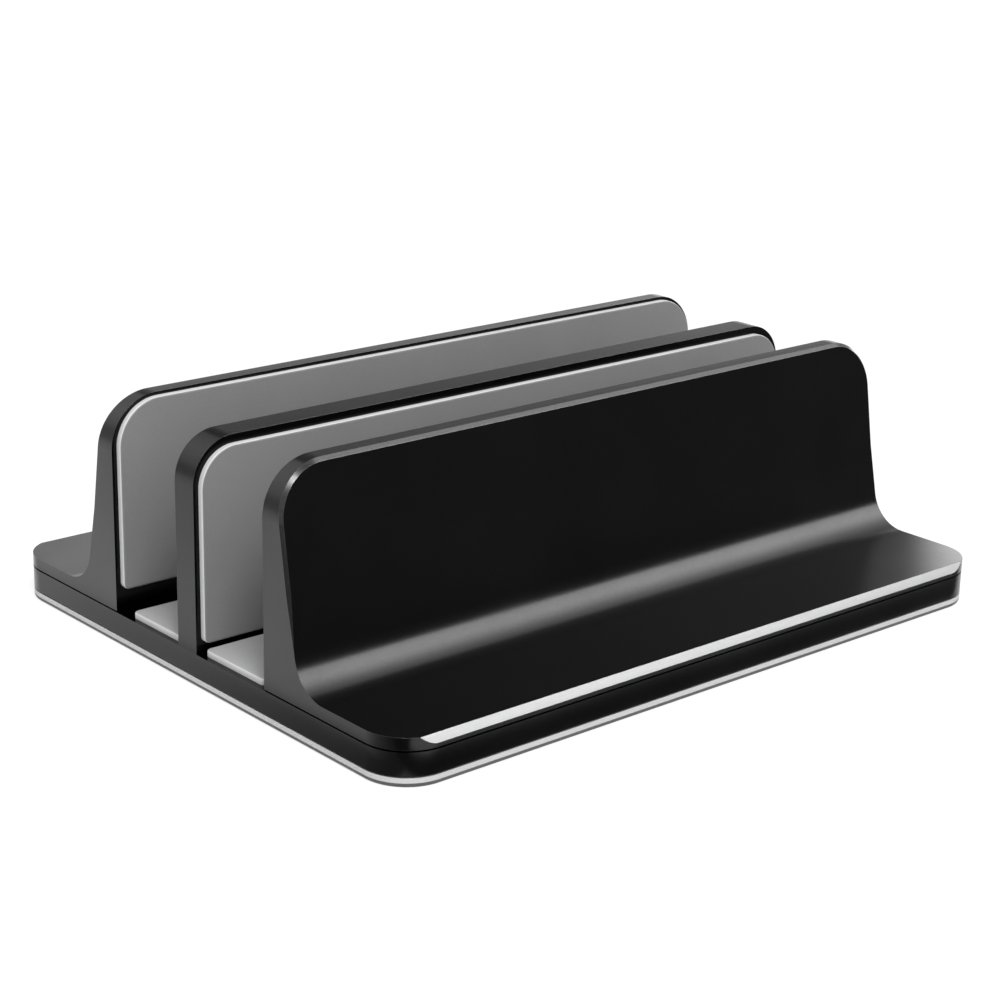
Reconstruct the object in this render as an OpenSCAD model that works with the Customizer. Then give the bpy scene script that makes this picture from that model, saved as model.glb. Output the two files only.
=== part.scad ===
// Two-slot upright stand for closed notebook computers.
// A flat base carries a fixed centre wall and two L-shaped side brackets that slide to set the slots.
// X runs along the walls, Y across the slots (front is -Y), Z is up.
// The origin is on the resting face, at the middle of the base.

/* [Base plate] */
// Length of the base and of the three walls
stand_l = 178; // [160:1:220]
// Width of the base across the slots
base_w = 145; // [138:1:180]
// Thickness of the base plate
base_t = 5.5; // [5:0.1:8]
// Radius of the base's corners seen from above
base_corner_r = 10.5; // [6:0.5:16]
// Chamfer along the base's lower rim
base_rim = 0.35; // [0.2:0.05:0.8]

/* [Under mat] */
// Thickness of the non-slip mat under the base
mat_t = 2.1; // [1.5:0.1:4]
// Rounding of the mat's lower rim
mat_rim_r = 0.8; // [0.3:0.1:1.2]
// Margin between a clamp screw's recess and the mat's window round it
mat_window_margin = 1.2; // [0.8:0.1:3]

/* [Centre wall] */
// Thickness of the fixed centre wall
centre_t = 6.9; // [6:0.1:10]
// Height of the centre wall above the base
centre_h = 47.4; // [46:0.5:80]
// Radius of the centre wall's two top corners
centre_corner_r = 10.2; // [6:0.5:16]

/* [Side brackets] */
// Distance from the centre wall to each bracket's inner face, as set at rest
slot_w = 24.85; // [18:0.05:27]
// How far each bracket slides inward from rest
slide_in = 1.8; // [0.5:0.1:2]
// How far each bracket slides outward from rest
slide_out = 10; // [4:0.5:12]
// Height of each bracket's wall above the base
bracket_h = 49.2; // [48:0.5:80]
// Thickness of the bracket's wall at its top
bracket_top_t = 4.5; // [3:0.1:6]
// Thickness of the bracket's wall where it would meet the foot
bracket_root_t = 11.9; // [9:0.1:14]
// Thickness of the bracket's foot
foot_t = 3.1; // [2.5:0.1:5]
// Radius of the hollow fillet between the wall and the foot
bracket_fillet_r = 9.4; // [4:0.2:12]
// Radius of the bracket's two top corners
bracket_corner_r = 11.8; // [6:0.5:16]
// Chamfer round the rim of the bracket's outer face
bracket_rim = 0.7; // [0.3:0.1:1.2]
// Length over which that chamfer runs out above the fillet
rim_run_out = 12; // [4:0.5:14]
// Chamfer along the sole's rim, which leaves a fine dark groove above the base
sole_rim = 0.4; // [0.2:0.05:0.8]
// Depth of the bevel along the foot's toe, measured inward
toe_bevel_d = 0.9; // [0.3:0.1:2]
// Height of the bevel along the foot's toe
toe_bevel_h = 1.8; // [0.5:0.1:2.2]

/* [Pads] */
// Thickness of the soft pads
pad_t = 1.5; // [1:0.1:2]
// Bare margin between a pad and the ends of its wall or floor
pad_end_margin = 1.3; // [0.5:0.1:4]
// Bare margin above the pads on the side brackets
bracket_pad_top = 0.8; // [0.5:0.1:3]
// Bare margin between the base and the pads on the side brackets
bracket_pad_foot = 5.4; // [3:0.1:12]
// Bare margin above the pads on the centre wall
centre_pad_top = 1.9; // [0.5:0.1:3]
// Bare margin between the base and the pads on the centre wall
centre_pad_foot = 2.5; // [2.2:0.1:12]
// Radius of the lower corners of the pads on the walls
wall_pad_foot_r = 2.5; // [1:0.5:6]
// Gap between the centre wall and the front floor pad
front_floor_pad_gap = 1.4; // [0.2:0.1:3]
// Gap between the front floor pad and its bracket when that is slid fully in
front_floor_pad_end_gap = 0.35; // [0.2:0.05:3]
// Gap between the centre wall and the rear floor pad
rear_floor_pad_gap = 0.25; // [0.1:0.05:3]
// Gap between the rear floor pad and its bracket when that is slid fully in
rear_floor_pad_end_gap = 2.9; // [0.2:0.05:3]
// Radius of the floor pads' corners
floor_pad_corner_r = 2; // [1:0.5:4]
// Rounding of the exposed rim of every pad
pad_rim_r = 0.5; // [0.2:0.1:0.8]

/* [Screws] */
// Thread diameter of every screw
screw_d = 4; // [3:0.5:4]
// Distance of the screws from the middle of the stand
screw_x = 60; // [40:1:68]
// Distance of a clamp screw from its bracket's inner face
clamp_screw_inset = 5.6; // [5:0.1:6.5]
// Thread length of the clamp screws below the head
clamp_screw_l = 8; // [6:1:12]
// Thread length of the centre wall's screws below the head
centre_screw_l = 12; // [8:1:16]
// Diameter of the screw heads
head_d = 7.6; // [7:0.1:8]
// Height of the screw heads
head_h = 2.2; // [1.5:0.1:2.3]
// Width across the flats of the hexagon socket
socket_af = 2.5; // [2:0.5:3]
// Depth of the hexagon socket
socket_h = 1.3; // [0.8:0.1:1.4]
// Outer diameter of the clamp washers
washer_d = 9; // [8.4:0.1:10]
// Thickness of the clamp washers
washer_t = 0.8; // [0.5:0.1:0.9]
// Thickness of the base left above the screw recesses
web_t = 2.3; // [2:0.1:2.4]
// Clearance round a screw's thread in a plain hole or slot, on the diameter
shank_clearance = 0.5; // [0.3:0.1:1]
// Clearance round a screw's thread in its tapped hole, on the diameter
thread_clearance = 0.1; // [0.05:0.05:0.2]
// Clearance round a head or washer in its recess, on the diameter
recess_clearance = 0.8; // [0.4:0.1:1.5]
// Depth of each tapped hole beyond the end of its screw
hole_end_gap = 1.5; // [1:0.5:4]

/* [Hidden] */
$fn = 96;
// Overrun of every cutting shape
cut = 1;

// Heights of the faces that pieces rest on
base_z = mat_t;
floor_z = base_z + base_t;

// Where the brackets stand across the stand
centre_face_y = centre_t / 2;
bracket_face_y = centre_face_y + slot_w;
foot_l = base_w / 2 - bracket_face_y;

// Outer face of a bracket's wall: slope, lean and fillet
wall_slope = (bracket_root_t - bracket_top_t) / (bracket_h - foot_t);
wall_lean = atan(wall_slope);
fillet_z = foot_t + bracket_fillet_r;
fillet_y = wall_face_y(fillet_z) + bracket_fillet_r / cos(wall_lean);
fillet_start = [fillet_y - bracket_fillet_r * cos(wall_lean), fillet_z - bracket_fillet_r * sin(wall_lean)];

// Pads on the walls and on the floors of the slots
pad_l = stand_l - 2 * pad_end_margin;
bracket_pad_h = bracket_h - bracket_pad_top - bracket_pad_foot;
bracket_pad_z = floor_z + bracket_pad_foot;
bracket_pad_corner_r = bracket_corner_r - pad_end_margin;
centre_pad_h = centre_h - centre_pad_top - centre_pad_foot;
centre_pad_z = floor_z + centre_pad_foot;
centre_pad_corner_r = centre_corner_r - pad_end_margin;
front_floor_pad_w = slot_w - slide_in - front_floor_pad_gap - front_floor_pad_end_gap;
rear_floor_pad_w = slot_w - slide_in - rear_floor_pad_gap - rear_floor_pad_end_gap;

// Screws, washers and their recesses
clamp_y = bracket_face_y + clamp_screw_inset;
seat_z = floor_z - web_t;
shank_hole_d = screw_d + shank_clearance;
tapped_d = screw_d + thread_clearance;
washer_hole_d = screw_d + shank_clearance / 2;
clamp_recess_d = max(washer_d, head_d) + recess_clearance;
mat_window_w = clamp_recess_d + 2 * mat_window_margin;
centre_recess_d = head_d + recess_clearance;
clamp_hole_h = clamp_screw_l - washer_t - web_t + hole_end_gap;
centre_hole_h = centre_screw_l - web_t + hole_end_gap;

// Distance of a bracket's outer wall face from its inner face, at height z above the foot's sole
function wall_face_y(z) = bracket_root_t - wall_slope * (z - foot_t);

// Flat shapes

// Rectangle centred on the origin, with round corners
module rounded_rectangle(l, w, r) {
    square([l - 2 * r, w], center = true);
    square([l, w - 2 * r], center = true);
    for (x = [-1, 1], y = [-1, 1])
        translate([x * (l / 2 - r), y * (w / 2 - r)]) circle(r);
}

// Upright outline from 0 to h, with top_r on the upper corners and foot_r on the lower ones
module wall_outline(l, h, top_r, foot_r = 0) {
    difference() {
        translate([-l / 2, 0]) square([l, h]);
        for (x = [-1, 1]) {
            translate([x * l / 2, h]) corner_waste(-x, -1, top_r);
            if (foot_r > 0) translate([x * l / 2, 0]) corner_waste(-x, 1, foot_r);
        }
    }
}

// What a radius takes off a square corner at the origin, with the material towards (sx, sy)
module corner_waste(sx, sy, r) {
    scale([sx, sy])
        difference() {
            translate([-cut, -cut]) square(r + cut);
            translate([r, r]) circle(r);
        }
}

// Long hole between the points y0 and y1
module long_hole(d, y0, y1) {
    for (y = [y0, y1]) translate([0, y]) circle(d = d);
    translate([-d / 2, y0]) square([d, y1 - y0]);
}

// Turns a flat drawing in (across, up) into a bar along X, centred on the middle of the stand
module bar_along_x(l) {
    translate([-l / 2, 0, 0]) rotate([90, 0, 90]) linear_extrude(l) children();
}

// Turns a flat drawing in (along, up) into a plate between y0 and y1
module plate_across_y(y0, y1) {
    translate([0, y1, 0]) rotate([90, 0, 0]) linear_extrude(y1 - y0) children();
}

// Slab with a rounded plan whose upper rim is rounded by rim and whose lower rim is square
module soft_slab(l, w, t, r, rim) {
    r_in = r - rim;
    linear_extrude(t - rim) rounded_rectangle(l, w, r);
    linear_extrude(t) rounded_rectangle(l - 2 * rim, w - 2 * rim, r_in);
    for (x = [-1, 1], y = [-1, 1])
        translate([x * (l / 2 - r), y * (w / 2 - r), t - rim]) rim_ring(r, rim);
    for (y = [-1, 1])
        translate([-(l / 2 - r), y * (w / 2 - rim), t - rim])
            rotate([0, 90, 0]) cylinder(r = rim, h = l - 2 * r);
    for (x = [-1, 1])
        translate([x * (l / 2 - rim), w / 2 - r, t - rim])
            rotate([90, 0, 0]) cylinder(r = rim, h = w - 2 * r);
}

// Half-round rim of a disc with radius r, lying on the plane z = 0
module rim_ring(r, rim) {
    rotate_extrude()
        intersection() {
            union() {
                translate([r - rim, 0]) circle(rim);
                translate([0, -rim]) square([r - rim, 2 * rim]);
            }
            square([r, rim]);
        }
}

// Base plate

module base_plate() {
    color("dimgray")
        difference() {
            translate([0, 0, base_z]) rimmed_block(base_t, base_rim);
            for (side = [-1, 1], x = [-1, 1]) clamp_slot(side, x * screw_x);
            for (x = [-1, 1]) translate([x * screw_x, 0, base_z - cut]) {
                cylinder(d = shank_hole_d, h = base_t + 2 * cut);
                cylinder(d = centre_recess_d, h = base_t - web_t + cut);
            }
        }
}

// Block h high with the outline of the stand and a chamfer along its lower rim
module rimmed_block(h, rim) {
    inner_l = stand_l - 2 * base_corner_r;
    inner_w = base_w - 2 * base_corner_r;
    linear_extrude(h)
        rounded_rectangle(stand_l - 2 * rim, base_w - 2 * rim, base_corner_r - rim);
    bar_along_x(inner_l) rim_section(base_w, h, rim);
    rotate([0, 0, 90]) bar_along_x(inner_w) rim_section(stand_l, h, rim);
    for (x = [-1, 1], y = [-1, 1])
        translate([x * inner_l / 2, y * inner_w / 2, 0])
            rotate_extrude() intersection() {
                rim_section(2 * base_corner_r, h, rim);
                square([base_corner_r, h]);
            }
}

// Cross section of the block, w wide
module rim_section(w, h, rim) {
    half = w / 2;
    polygon([[-half + rim, 0], [half - rim, 0], [half, rim], [half, h], [-half, h], [-half, rim]]);
}

// Long hole and recess that one clamp screw slides in; side is -1 at the front and 1 at the rear
module clamp_slot(side, x) {
    near = clamp_y - slide_in;
    far = clamp_y + slide_out;
    translate([x, 0, base_z - cut]) mirror([0, side < 0 ? 1 : 0, 0]) {
        linear_extrude(base_t + 2 * cut) long_hole(shank_hole_d, near, far);
        linear_extrude(base_t - web_t + cut) long_hole(clamp_recess_d, near, far);
    }
}

module base_mat() {
    color("lightgray")
        difference() {
            translate([0, 0, mat_t]) mirror([0, 0, 1])
                soft_slab(stand_l, base_w, mat_t, base_corner_r, mat_rim_r);
            for (side = [0, 1], x = [-1, 1])
                translate([x * screw_x, 0, -cut]) mirror([0, side, 0])
                    linear_extrude(mat_t + 2 * cut)
                        long_hole(mat_window_w, clamp_y - slide_in, clamp_y + slide_out);
        }
}

// Walls

module centre_wall() {
    color("dimgray")
        difference() {
            translate([0, 0, floor_z])
                plate_across_y(-centre_face_y, centre_face_y)
                    wall_outline(stand_l, centre_h, centre_corner_r);
            for (x = [-1, 1])
                translate([x * screw_x, 0, floor_z - cut]) cylinder(d = tapped_d, h = centre_hole_h + cut);
        }
}

module front_bracket() {
    color("black") mirror([0, 1, 0]) bracket();
}

module rear_bracket() {
    color("black") bracket();
}

// Bracket of the rear side, with its sole on the base
module bracket() {
    translate([0, 0, floor_z])
        difference() {
            intersection() {
                translate([0, bracket_face_y, 0]) bar_along_x(stand_l) bracket_section();
                plate_across_y(bracket_face_y - cut, base_w / 2 + cut)
                    wall_outline(stand_l, bracket_h, bracket_corner_r);
                rimmed_block(bracket_h, sole_rim);
            }
            translate([0, bracket_face_y, 0]) bracket_rim_cut();
            for (x = [-1, 1])
                translate([x * screw_x, clamp_y, -cut]) cylinder(d = tapped_d, h = clamp_hole_h + cut);
        }
}

// Cross section of a bracket: inner face at 0, leaning outer face, hollow fillet, foot with a bevelled toe
module bracket_section() {
    polygon([
        [0, 0],
        [foot_l, 0],
        [foot_l, foot_t - toe_bevel_h],
        [foot_l - toe_bevel_d, foot_t],
        [wall_face_y(foot_t), foot_t],
        [wall_face_y(bracket_h), bracket_h],
        [0, bracket_h]
    ]);
    difference() {
        polygon([
            [wall_face_y(foot_t) - cut, foot_t - cut],
            [fillet_y, foot_t - cut],
            [fillet_y, foot_t],
            fillet_start
        ]);
        translate([fillet_y, fillet_z]) circle(bracket_fillet_r);
    }
}

// Chamfer round the top and the ends of the leaning outer face
module bracket_rim_cut() {
    // Length of the leaning face from the fillet up to the top edge
    face_l = (bracket_h - fillet_start[1]) / cos(wall_lean);
    ring_x = stand_l / 2 - bracket_corner_r;
    ring_up = face_l - bracket_corner_r;
    translate([0, fillet_start[0], fillet_start[1]]) rotate([wall_lean, 0, 0]) {
        // Along the top edge
        translate([0, 0, face_l]) bar_along_x(2 * ring_x) polygon(rim_waste(0));
        for (x = [-1, 1]) {
            // Round the corner
            intersection() {
                translate([x * ring_x, 0, ring_up]) rotate([-90, 0, 0])
                    rotate_extrude() polygon([for (p = rim_waste(bracket_corner_r)) [p[1], p[0]]]);
                translate([x > 0 ? ring_x : -ring_x - 2 * bracket_corner_r, -bracket_corner_r, ring_up])
                    cube(2 * bracket_corner_r);
            }
            // Down the end
            mirror([x < 0 ? 1 : 0, 0, 0])
                translate([stand_l / 2, 0, rim_run_out]) end_rim_cut(ring_up - rim_run_out);
        }
    }
}

// Triangle (outward, along) that a rim chamfer takes off an edge lying at (0, edge)
function rim_waste(edge) = [
    [cut, edge - bracket_rim - cut],
    [cut, edge + cut],
    [-bracket_rim - cut, edge + cut]
];

// Chamfer down one end: even from h down to 0, then running out of the material below, with a mitre between
module end_rim_cut(h) {
    turn = atan(bracket_rim / rim_run_out);
    reach = 4 * bracket_rim + 2 * cut;
    difference() {
        translate([0, 0, -cut]) linear_extrude(h + cut) end_waste();
        rotate([0, -turn / 2, 0]) translate([-reach, -reach, -2 * reach]) cube(2 * reach);
    }
    difference() {
        rotate([0, -turn, 0]) translate([0, 0, -rim_run_out]) linear_extrude(rim_run_out + cut) end_waste();
        rotate([0, -turn / 2, 0]) translate([-reach, -reach, 0]) cube(2 * reach);
    }
}

// The rim's triangle drawn as (along, outward)
module end_waste() {
    polygon([for (p = rim_waste(0)) [p[1], p[0]]]);
}

// Pads

// Pad on a wall, h high: its back lies on the plane y = 0 and it faces +Y, with its lower edge at z = 0
module wall_pad(h, top_r) {
    rim = pad_rim_r;
    body_t = pad_t - rim;
    l = pad_l;
    foot_r = wall_pad_foot_r;
    plate_across_y(0, body_t) wall_outline(l, h, top_r, foot_r);
    plate_across_y(0, pad_t)
        translate([0, rim]) wall_outline(l - 2 * rim, h - 2 * rim, top_r - rim, foot_r - rim);
    for (x = [-1, 1]) {
        pad_corner([x * (l / 2 - top_r), body_t, h - top_r], top_r, rim);
        pad_corner([x * (l / 2 - foot_r), body_t, foot_r], foot_r, rim);
        translate([x * (l / 2 - rim), body_t, foot_r]) cylinder(r = rim, h = h - top_r - foot_r);
    }
    pad_edge(l - 2 * top_r, body_t, h - rim, rim);
    pad_edge(l - 2 * foot_r, body_t, rim, rim);
}

// Rounded rim at one corner of a pad
module pad_corner(place, r, rim) {
    translate(place) rotate([-90, 0, 0]) rim_ring(r, rim);
}

// Rounded rim along one level edge of a pad
module pad_edge(l, y, z, rim) {
    translate([-l / 2, y, z]) rotate([0, 90, 0]) cylinder(r = rim, h = l);
}

module front_bracket_pad() {
    color("gray")
        translate([0, -bracket_face_y, bracket_pad_z]) wall_pad(bracket_pad_h, bracket_pad_corner_r);
}

module rear_bracket_pad() {
    color("gray") mirror([0, 1, 0]) front_bracket_pad();
}

module centre_pad_rear() {
    color("gray") translate([0, centre_face_y, centre_pad_z]) wall_pad(centre_pad_h, centre_pad_corner_r);
}

module centre_pad_front() {
    color("gray") mirror([0, 1, 0]) centre_pad_rear();
}

// Pad on the floor of a slot, y_near from the middle plane
module floor_pad(y_near, w) {
    translate([0, y_near + w / 2, floor_z])
        soft_slab(pad_l, w, pad_t, floor_pad_corner_r, pad_rim_r);
}

module front_floor_pad() {
    color("darkgray") mirror([0, 1, 0]) floor_pad(centre_face_y + front_floor_pad_gap, front_floor_pad_w);
}

module rear_floor_pad() {
    color("darkgray") floor_pad(centre_face_y + rear_floor_pad_gap, rear_floor_pad_w);
}

// Screws and washers

// Screw with its head's upper face at z = 0, its thread upward and its domed head downward
module screw(l) {
    dome_r = (pow(head_d / 2, 2) + pow(head_h, 2)) / (2 * head_h);
    cylinder(d = screw_d, h = l);
    difference() {
        intersection() {
            translate([0, 0, dome_r - head_h]) sphere(dome_r);
            translate([0, 0, -head_h]) cylinder(d = head_d, h = head_h);
        }
        translate([0, 0, -head_h - cut]) cylinder(d = socket_af / cos(30), h = socket_h + cut, $fn = 6);
    }
}

module clamp_screw(side, x) {
    color("silver") translate([x * screw_x, side * clamp_y, seat_z - washer_t]) screw(clamp_screw_l);
}

module clamp_washer(side, x) {
    color("silver")
        translate([x * screw_x, side * clamp_y, seat_z - washer_t])
            difference() {
                cylinder(d = washer_d, h = washer_t);
                translate([0, 0, -cut]) cylinder(d = washer_hole_d, h = washer_t + 2 * cut);
            }
}

module centre_screw(x) {
    color("silver") translate([x * screw_x, 0, seat_z]) screw(centre_screw_l);
}

module front_clamp_screw_left() { clamp_screw(-1, -1); }
module front_clamp_screw_right() { clamp_screw(-1, 1); }
module rear_clamp_screw_left() { clamp_screw(1, -1); }
module rear_clamp_screw_right() { clamp_screw(1, 1); }
module front_washer_left() { clamp_washer(-1, -1); }
module front_washer_right() { clamp_washer(-1, 1); }
module rear_washer_left() { clamp_washer(1, -1); }
module rear_washer_right() { clamp_washer(1, 1); }
module centre_screw_left() { centre_screw(-1); }
module centre_screw_right() { centre_screw(1); }

base_plate();
base_mat();
centre_wall();
front_bracket();
rear_bracket();
front_bracket_pad();
rear_bracket_pad();
centre_pad_front();
centre_pad_rear();
front_floor_pad();
rear_floor_pad();
front_clamp_screw_left();
front_clamp_screw_right();
rear_clamp_screw_left();
rear_clamp_screw_right();
front_washer_left();
front_washer_right();
rear_washer_left();
rear_washer_right();
centre_screw_left();
centre_screw_right();
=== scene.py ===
"""Looks of the two-slot upright stand: finishes, soft parts, stage, lamps and camera.

Lengths are in metres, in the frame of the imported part: X runs along the walls,
Y across the slots with the front at -Y, and Z is up from the resting face.
"""

from __future__ import annotations

import logging
import math
from dataclasses import dataclass
from enum import Enum
from typing import Callable, Sequence

import bmesh
import bpy
from mathutils import Matrix, Vector

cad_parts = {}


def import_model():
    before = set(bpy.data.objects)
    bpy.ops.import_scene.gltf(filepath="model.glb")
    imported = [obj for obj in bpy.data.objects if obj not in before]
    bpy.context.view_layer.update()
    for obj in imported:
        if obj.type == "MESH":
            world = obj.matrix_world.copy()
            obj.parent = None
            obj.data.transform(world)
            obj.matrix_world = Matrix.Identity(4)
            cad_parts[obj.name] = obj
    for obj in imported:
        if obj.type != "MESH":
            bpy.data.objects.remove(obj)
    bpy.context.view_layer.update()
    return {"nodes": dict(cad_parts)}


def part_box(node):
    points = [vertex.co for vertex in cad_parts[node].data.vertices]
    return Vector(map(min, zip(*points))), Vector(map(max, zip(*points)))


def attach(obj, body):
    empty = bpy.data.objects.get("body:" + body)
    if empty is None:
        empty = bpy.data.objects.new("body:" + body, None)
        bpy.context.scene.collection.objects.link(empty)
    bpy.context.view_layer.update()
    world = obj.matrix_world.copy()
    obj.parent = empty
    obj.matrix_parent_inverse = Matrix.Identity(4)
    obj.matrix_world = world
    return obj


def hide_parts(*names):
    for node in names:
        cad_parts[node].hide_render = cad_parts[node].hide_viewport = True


LOG = logging.getLogger("stand")
MM = 0.001
NEAR = 1e-6
SHORTEST_EDGE = 1e-7
FLAT_FACE = 0.6
COOLNESS = 1.006
NOISE_RANGE = (0.3, 0.7)
SMUDGE_RANGE = (0.35, 0.65)
FINE_SMUDGE = 0.08
WIDE_GRAIN = 6.0
COLUMN = 180
MIX_COLOURS = ("RGBA", 6, 7, 2)
MIX_VALUES = ("FLOAT", 2, 3, 0)
Rgba = tuple[float, float, float, float]
Point = tuple[float, float, float]
Shifts = Sequence[tuple[Point, float]]
Socket = bpy.types.NodeSocket
FaceTest = Callable[[bpy.types.MeshPolygon], int]
FacePaint = tuple[Sequence[bpy.types.Material], FaceTest]
EdgeTest = Callable[[Vector, Vector], bool]


def grey(level: float) -> Rgba:
    """Make a neutral grey that leans a little to blue, as the black finish does."""
    return (level, level, level * COOLNESS, 1.0)


def plain(level: float) -> Rgba:
    """Make an exactly neutral grey."""
    return (level, level, level, 1.0)


class Side(Enum):
    """Front or rear: the side of the centre wall, or the way a face looks."""

    FRONT = -1
    REAR = 1


class Body(Enum):
    """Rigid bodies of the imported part."""

    BASE = "stand_base"
    FRONT = "front_side"
    REAR = "rear_side"


# Modelling


def deselect() -> None:
    """Leave nothing selected and nothing active, in object mode."""
    if bpy.context.object is not None and bpy.context.object.mode != "OBJECT":
        bpy.ops.object.mode_set(mode="OBJECT")
    bpy.ops.object.select_all(action="DESELECT")
    bpy.context.view_layer.objects.active = None


def activate(piece: bpy.types.Object) -> None:
    """Make one piece the only selected and the active object.

    Args:
        piece: object to activate.
    """
    deselect()
    piece.select_set(True)
    bpy.context.view_layer.objects.active = piece


def block(name: str, low: Point, high: Point) -> bpy.types.Object:
    """Add a block between two corners, with its place kept in its mesh.

    Args:
        name: name of the new piece.
        low: lowest corner in metres.
        high: highest corner in metres.

    Returns:
        The new object, at the origin and unscaled.
    """
    deselect()
    centre = [(a + b) / 2 for a, b in zip(low, high)]
    size = [b - a for a, b in zip(low, high)]
    bpy.ops.mesh.primitive_cube_add(size=1, location=centre, scale=size)
    piece = bpy.context.object
    piece.name = name
    piece.data.name = name
    bpy.ops.object.transform_apply(location=True, rotation=True, scale=True)
    return piece


def select_edges(piece: bpy.types.Object, wanted: EdgeTest) -> int:
    """Select, in edit mode, the edges whose two ends satisfy a test.

    Args:
        piece: object in edit mode.
        wanted: test of an edge's two end points.

    Returns:
        How many edges are selected.
    """
    mesh = bmesh.from_edit_mesh(piece.data)
    for part in (*mesh.faces, *mesh.edges, *mesh.verts):
        part.select = False
    count = 0
    for edge in mesh.edges:
        if wanted(edge.verts[0].co, edge.verts[1].co):
            edge.select_set(True)
            count += 1
    bmesh.update_edit_mesh(piece.data)
    return count


def bevel_edges(
    piece: bpy.types.Object, wanted: EdgeTest, width: float, segments: int
) -> None:
    """Round the edges of a piece that satisfy a test.

    Args:
        piece: object to shape.
        wanted: test of an edge's two end points.
        width: radius of the rounding in metres.
        segments: how many facets the rounding gets.
    """
    activate(piece)
    bpy.ops.object.mode_set(mode="EDIT")
    bpy.ops.mesh.select_mode(type="EDGE")
    if select_edges(piece, wanted):
        bpy.ops.mesh.bevel(offset=width, segments=segments, affect="EDGES", clamp_overlap=False)
    bpy.ops.object.mode_set(mode="OBJECT")


def along(axis: int, *fixed: tuple[int, float]) -> EdgeTest:
    """Make a test for edges that run along one axis through a given place.

    Args:
        axis: number of the axis the edge runs along.
        fixed: pairs of another axis' number and the place the edge keeps on it.

    Returns:
        The test for a pair of end points.
    """

    def test(a: Vector, b: Vector) -> bool:
        """Test one edge by its two ends.

        Args:
            a: one end.
            b: the other end.

        Returns:
            Whether it runs along the axis at the fixed places.
        """
        delta = b - a
        level = all(abs(delta[i]) < SHORTEST_EDGE for i in range(3) if i != axis)
        placed = all(abs(a[i] - place) < NEAR for i, place in fixed)
        return level and placed and abs(delta[axis]) > SHORTEST_EDGE

    return test


def within(axis: int, place: float) -> EdgeTest:
    """Make a test for edges that lie in the plane at a place on one axis."""
    return lambda a, b: abs(a[axis] - place) < NEAR and abs(b[axis] - place) < NEAR


def round_corners(
    piece: bpy.types.Object, low: Vector, high: Vector, width: float, segments: int
) -> None:
    """Round the four upright corners of a flat piece.

    Args:
        piece: object to shape.
        low: lowest corner of its box.
        high: highest corner of its box.
        width: radius of the corners in metres.
        segments: how many facets each corner gets.
    """
    for x in (low.x, high.x):
        for y in (low.y, high.y):
            bevel_edges(piece, along(2, (0, x), (1, y)), width, segments)


def smooth(piece: bpy.types.Object, angle: float = 35.0) -> None:
    """Shade a piece smooth wherever its faces meet at a small angle.

    Args:
        piece: object to shade.
        angle: largest angle that is shaded smooth, in degrees.
    """
    activate(piece)
    bpy.ops.object.shade_smooth_by_angle(angle=math.radians(angle))
    deselect()


def paint_faces(
    piece: bpy.types.Object, finishes: Sequence[bpy.types.Material], pick: FaceTest
) -> None:
    """Give each face of a piece one of several finishes.

    Args:
        piece: object to dress.
        finishes: its materials in slot order.
        pick: gives the slot number for a face.
    """
    piece.data.materials.clear()
    for finish in finishes:
        piece.data.materials.append(finish)
    for face in piece.data.polygons:
        face.material_index = pick(face)


# Node graphs


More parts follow.
